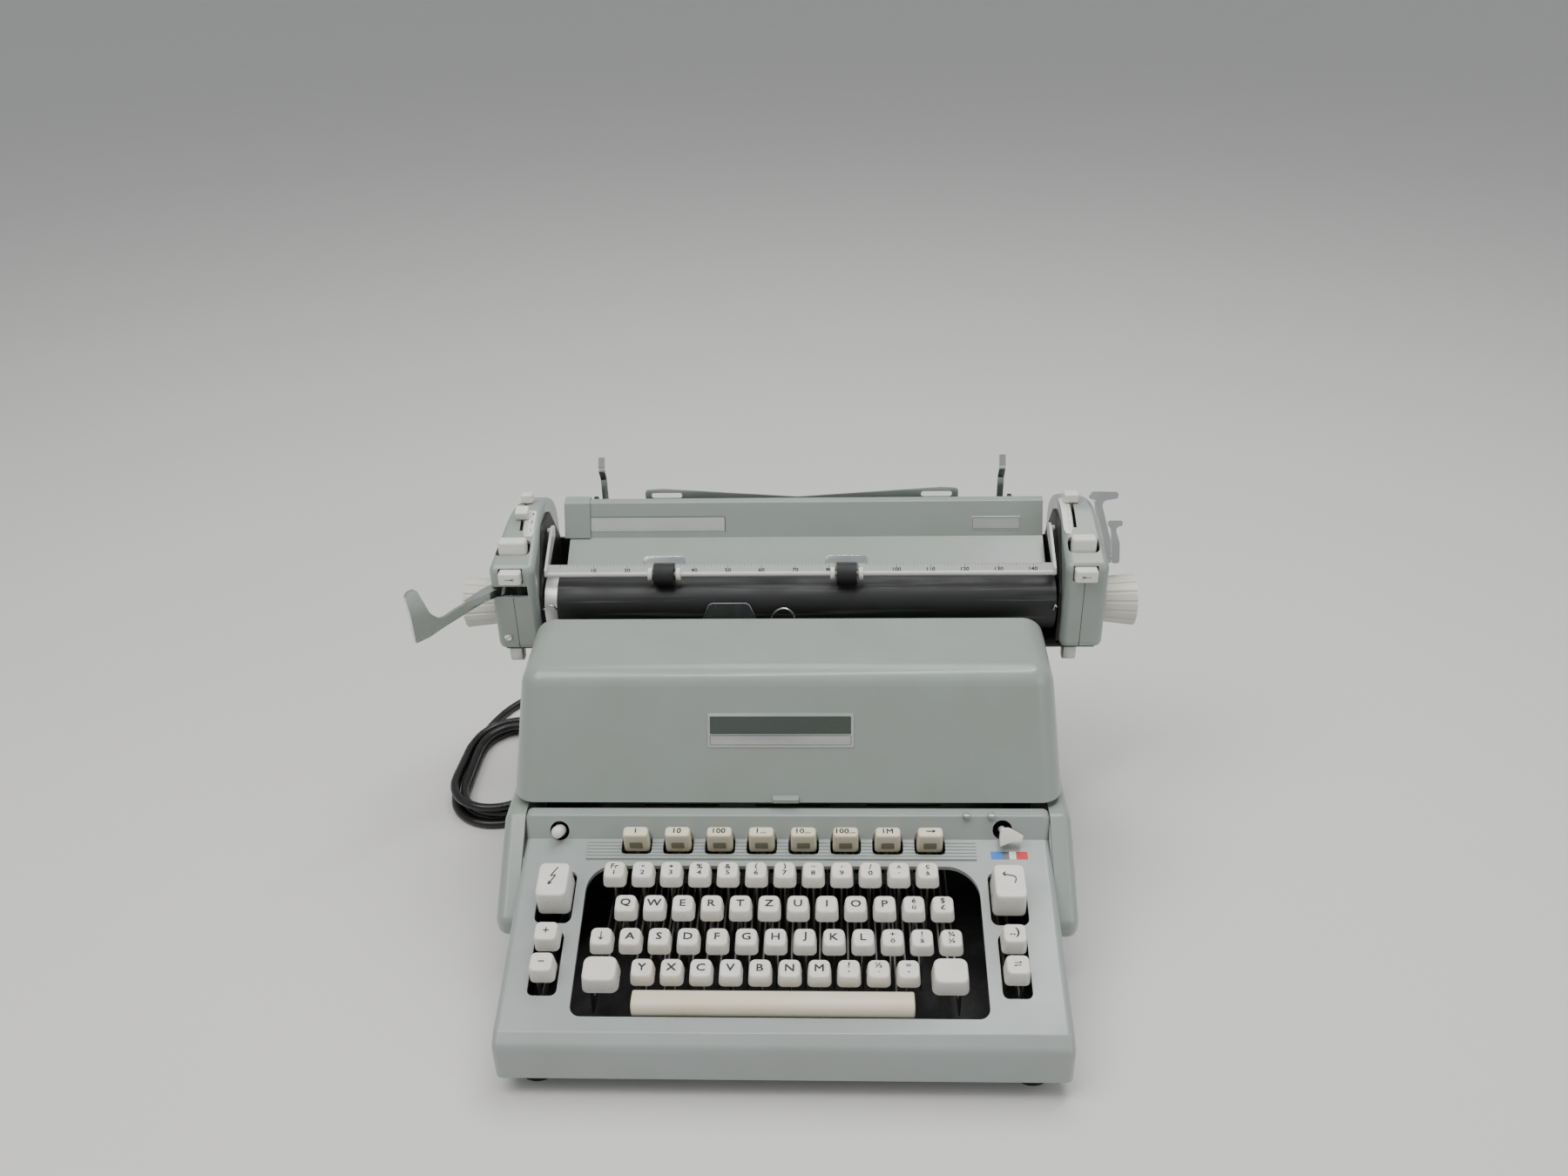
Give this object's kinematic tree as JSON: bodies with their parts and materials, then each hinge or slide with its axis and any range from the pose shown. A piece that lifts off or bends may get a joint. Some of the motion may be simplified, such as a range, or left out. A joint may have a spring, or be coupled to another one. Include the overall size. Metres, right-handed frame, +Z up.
{
  "type": "electric typewriter",
  "caption": "Wide-carriage electric typewriter with a sloped keyboard, hinged ribbon cover, sliding carriage with platen and paper bail, and a coiled mains cord.",
  "frame": {"origin": "middle of the machine's footprint without its cord, on the desk under the rubber feet", "axes": "+X to the typist's right along the platen, +Y away from the typist, +Z up"},
  "size_m": [0.552, 0.4942, 0.281],
  "materials": {
    "casing_paint": "semi-gloss grey-green stoved paint",
    "panel_paint": "semi-gloss light grey stoved paint",
    "casing_dark": "satin dark grey paint",
    "trim_strip": "ribbed strip, satin grey",
    "black_frame": "satin black",
    "motor_paint": "satin dark grey",
    "steel": "machined, lightly oiled",
    "bright_metal": "bright plated",
    "spool_metal": "satin",
    "key_white": "warm white moulded plastic",
    "key_cream": "ivory moulded plastic",
    "knob_plastic": "off-white moulded plastic",
    "platen_rubber": "ground black rubber",
    "rubber": "matt black",
    "clear_plastic": "smoked clear",
    "ink_ribbon": "inked woven ribbon",
    "cord_black": "smooth glossy sheath"
  },
  "bodies": {
    "chassis": {"base_pan": "casing_dark", "rubber_feet": "rubber", "keyboard_surround": "panel_paint", "tab_key_strip": "trim_strip", "left_side_casing": "casing_paint", "right_side_casing": "casing_paint", "rear_casing": "casing_paint", "chassis_frame": "black_frame", "carriage_rails": "steel", "type_segment": "steel", "typebars": "steel", "card_guide": "clear_plastic", "ribbon": "ink_ribbon", "drive_motor": "motor_paint", "drive_belt": "rubber", "mains_cord": "cord_black", "cord_coil": "cord_black", "cord_gland": "cord_black", "mains_plug": "cord_black"},
    "carriage": {"carriage_frame": "black_frame", "left_end_housing": "casing_paint", "right_end_housing": "casing_paint", "paper_table": "casing_paint", "form_support": "bright_metal"},
    "platen": {"platen_roller": "platen_rubber", "platen_shaft": "bright_metal", "platen_knobs": "knob_plastic"},
    "ribbon_cover": {"ribbon_cover": "casing_paint"},
    "struck_typebar": {"struck_typebar": "steel"},
    "ribbon_spool_left": {"ribbon_spool_left": "spool_metal"},
    "ribbon_spool_right": {"ribbon_spool_right": "spool_metal"},
    "motor_pulley": {"motor_pulley": "steel"},
    "power_roller": {"power_roller": "rubber"},
    "paper_support_arms": {"paper_support_arms": "bright_metal"},
    "paper_edge_guide": {"paper_edge_guide": "casing_paint"},
    "paper_bail": {"paper_bail": "bright_metal"},
    "bail_rollers": {"bail_rollers": "rubber"},
    "return_lever": {"return_lever": "bright_metal"},
    "paper_release_lever": {"paper_release_lever": "bright_metal"},
    "platen_release_lever": {"platen_release_lever": "bright_metal"},
    "left_margin_key": {"left_margin_key": "key_white"},
    "right_margin_key": {"right_margin_key": "key_white"},
    "left_top_key": {"left_top_key": "key_white"},
    "right_top_key": {"right_top_key": "key_white"},
    "line_space_slider": {"line_space_slider": "key_white"},
    "left_margin_slider": {"left_margin_slider": "key_white"},
    "right_margin_slider": {"right_margin_slider": "key_white"},
    "tab_keys": {"tab_keys": "key_cream"},
    "ribbon_selector": {"ribbon_selector": "key_white"},
    "reset_knob": {"reset_knob": "key_white"},
    "number_row_keys": {"number_row_keys": "key_white"},
    "upper_row_keys": {"upper_row_keys": "key_white"},
    "home_row_keys": {"home_row_keys": "key_white"},
    "lower_row_keys": {"lower_row_keys": "key_white"},
    "typing_key": {"typing_key": "key_white"},
    "shift_keys": {"shift_keys": "key_white"},
    "space_bar": {"space_bar": "key_cream"},
    "power_key": {"power_key": "key_white"},
    "return_key": {"return_key": "key_white"},
    "side_function_keys": {"side_function_keys": "key_white"}
  },
  "joints": [
    {"name": "carriage_travel", "type": "slide", "parent": "chassis", "child": "carriage", "axis": [-1, 0, 0], "range_m": [-0.145, 0.16]},
    {"name": "platen_turn", "type": "hinge", "parent": "carriage", "child": "platen", "pos_m": [0.00324, 0.11443, 0.19], "axis": [1, 0, 0], "continuous": true},
    {"name": "ribbon_cover_lift", "type": "hinge", "parent": "chassis", "child": "ribbon_cover", "pos_m": [0.00324, 0.05543, 0.185], "axis": [-1, 0, 0], "range_deg": [0, 60]},
    {"name": "paper_bail_lift", "type": "hinge", "parent": "carriage", "child": "paper_bail", "pos_m": [0.00324, 0.13943, 0.238], "axis": [-1, 0, 0], "range_deg": [0, 50]},
    {"name": "bail_roller_turn", "type": "hinge", "parent": "paper_bail", "child": "bail_rollers", "pos_m": [0.00324, 0.10243, 0.2196], "axis": [1, 0, 0], "continuous": true},
    {"name": "return_lever_swing", "type": "hinge", "parent": "carriage", "child": "return_lever", "pos_m": [-0.20276, 0.10543, 0.216], "axis": [0, 0, 1], "range_deg": [0, 42], "stiffness_Nm_per_rad": 0.3},
    {"name": "paper_release_pull", "type": "hinge", "parent": "carriage", "child": "paper_release_lever", "pos_m": [0.00324, 0.12243, 0.222], "axis": [1, 0, 0], "range_deg": [0, 28]},
    {"name": "platen_release_pull", "type": "hinge", "parent": "carriage", "child": "platen_release_lever", "pos_m": [0.00324, 0.12243, 0.222], "axis": [1, 0, 0], "range_deg": [0, 28]},
    {"name": "paper_arms_fold", "type": "hinge", "parent": "carriage", "child": "paper_support_arms", "pos_m": [0.00324, 0.18543, 0.24], "axis": [-1, 0, 0], "range_deg": [0, 90]},
    {"name": "edge_guide_travel", "type": "slide", "parent": "carriage", "child": "paper_edge_guide", "axis": [1, 0, 0], "range_m": [0, 0.12]},
    {"name": "left_margin_key_press", "type": "slide", "parent": "carriage", "child": "left_margin_key", "axis": [0, 1, 0], "range_m": [0, 0.003], "stiffness_N_per_m": 300},
    {"name": "right_margin_key_press", "type": "slide", "parent": "carriage", "child": "right_margin_key", "axis": [0, 1, 0], "range_m": [0, 0.003], "stiffness_N_per_m": 300},
    {"name": "left_top_key_press", "type": "slide", "parent": "carriage", "child": "left_top_key", "axis": [0, 0, -1], "range_m": [0, 0.003], "stiffness_N_per_m": 300},
    {"name": "right_top_key_press", "type": "slide", "parent": "carriage", "child": "right_top_key", "axis": [0, 0, -1], "range_m": [0, 0.003], "stiffness_N_per_m": 300},
    {"name": "line_space_select", "type": "hinge", "parent": "carriage", "child": "line_space_slider", "pos_m": [0.00324, 0.14533, 0.218], "axis": [1, 0, 0], "range_deg": [-4, 6]},
    {"name": "left_margin_set", "type": "hinge", "parent": "carriage", "child": "left_margin_slider", "pos_m": [0.00324, 0.14533, 0.218], "axis": [1, 0, 0], "range_deg": [-8, 3]},
    {"name": "right_margin_set", "type": "hinge", "parent": "carriage", "child": "right_margin_slider", "pos_m": [0.00324, 0.14533, 0.218], "axis": [1, 0, 0], "range_deg": [-12, 12]},
    {"name": "number_row_press", "type": "hinge", "parent": "chassis", "child": "number_row_keys", "pos_m": [0.00324, 0.02943, 0.038], "axis": [1, 0, 0], "range_deg": [0, 2], "stiffness_Nm_per_rad": 6},
    {"name": "upper_row_press", "type": "hinge", "parent": "chassis", "child": "upper_row_keys", "pos_m": [0.00324, 0.02943, 0.038], "axis": [1, 0, 0], "range_deg": [0, 2], "stiffness_Nm_per_rad": 6},
    {"name": "home_row_press", "type": "hinge", "parent": "chassis", "child": "home_row_keys", "pos_m": [0.00324, 0.02943, 0.038], "axis": [1, 0, 0], "range_deg": [0, 2], "stiffness_Nm_per_rad": 6},
    {"name": "lower_row_press", "type": "hinge", "parent": "chassis", "child": "lower_row_keys", "pos_m": [0.00324, 0.02943, 0.038], "axis": [1, 0, 0], "range_deg": [0, 2], "stiffness_Nm_per_rad": 6},
    {"name": "shift_press", "type": "hinge", "parent": "chassis", "child": "shift_keys", "pos_m": [0.00324, 0.02943, 0.038], "axis": [1, 0, 0], "range_deg": [0, 2], "stiffness_Nm_per_rad": 6},
    {"name": "space_bar_press", "type": "hinge", "parent": "chassis", "child": "space_bar", "pos_m": [0.00324, 0.02943, 0.038], "axis": [1, 0, 0], "range_deg": [0, 2], "stiffness_Nm_per_rad": 6},
    {"name": "power_key_press", "type": "hinge", "parent": "chassis", "child": "power_key", "pos_m": [0.00324, 0.02943, 0.038], "axis": [1, 0, 0], "range_deg": [0, 2], "stiffness_Nm_per_rad": 6},
    {"name": "return_key_press", "type": "hinge", "parent": "chassis", "child": "return_key", "pos_m": [0.00324, 0.02943, 0.038], "axis": [1, 0, 0], "range_deg": [0, 2], "stiffness_Nm_per_rad": 6},
    {"name": "side_keys_press", "type": "hinge", "parent": "chassis", "child": "side_function_keys", "pos_m": [0.00324, 0.02943, 0.038], "axis": [1, 0, 0], "range_deg": [0, 1.8], "stiffness_Nm_per_rad": 6},
    {"name": "typing_key_press", "type": "hinge", "parent": "chassis", "child": "typing_key", "pos_m": [0.00324, 0.02943, 0.038], "axis": [1, 0, 0], "range_deg": [0, 2.1], "stiffness_Nm_per_rad": 6},
    {"name": "typebar_strike", "type": "hinge", "parent": "chassis", "child": "struck_typebar", "pos_m": [0.00324, 0.07243, 0.112], "axis": [-1, 0, 0], "range_deg": [0, 105]},
    {"name": "tab_keys_press", "type": "slide", "parent": "chassis", "child": "tab_keys", "axis": [0, 0, -1], "range_m": [0, 0.004], "stiffness_N_per_m": 600},
    {"name": "reset_knob_press", "type": "slide", "parent": "chassis", "child": "reset_knob", "axis": [0, 0.848, -0.5299], "range_m": [0, 0.003], "stiffness_N_per_m": 300},
    {"name": "ribbon_colour_select", "type": "hinge", "parent": "chassis", "child": "ribbon_selector", "pos_m": [0.15324, -0.04857, 0.099], "axis": [0, -0.848, 0.5299], "range_deg": [-20, 20]},
    {"name": "left_spool_turn", "type": "hinge", "parent": "chassis", "child": "ribbon_spool_left", "pos_m": [-0.13876, 0.03543, 0.148], "axis": [0, 0, 1], "continuous": true},
    {"name": "right_spool_turn", "type": "hinge", "parent": "chassis", "child": "ribbon_spool_right", "pos_m": [0.14524, 0.03543, 0.148], "axis": [0, 0, 1], "continuous": true},
    {"name": "power_roller_turn", "type": "hinge", "parent": "chassis", "child": "power_roller", "pos_m": [0.00324, 0.06743, 0.066], "axis": [1, 0, 0], "continuous": true},
    {"name": "motor_turn", "type": "hinge", "parent": "chassis", "child": "motor_pulley", "pos_m": [0.00324, 0.12543, 0.068], "axis": [1, 0, 0], "continuous": true}
  ],
  "couplings": [
    {"joint": "right_spool_turn", "follows": "left_spool_turn", "ratio": 1},
    {"joint": "motor_turn", "follows": "power_roller_turn", "ratio": 2.4444},
    {"joint": "typing_key_press", "follows": "typebar_strike", "ratio": 0.02}
  ]
}
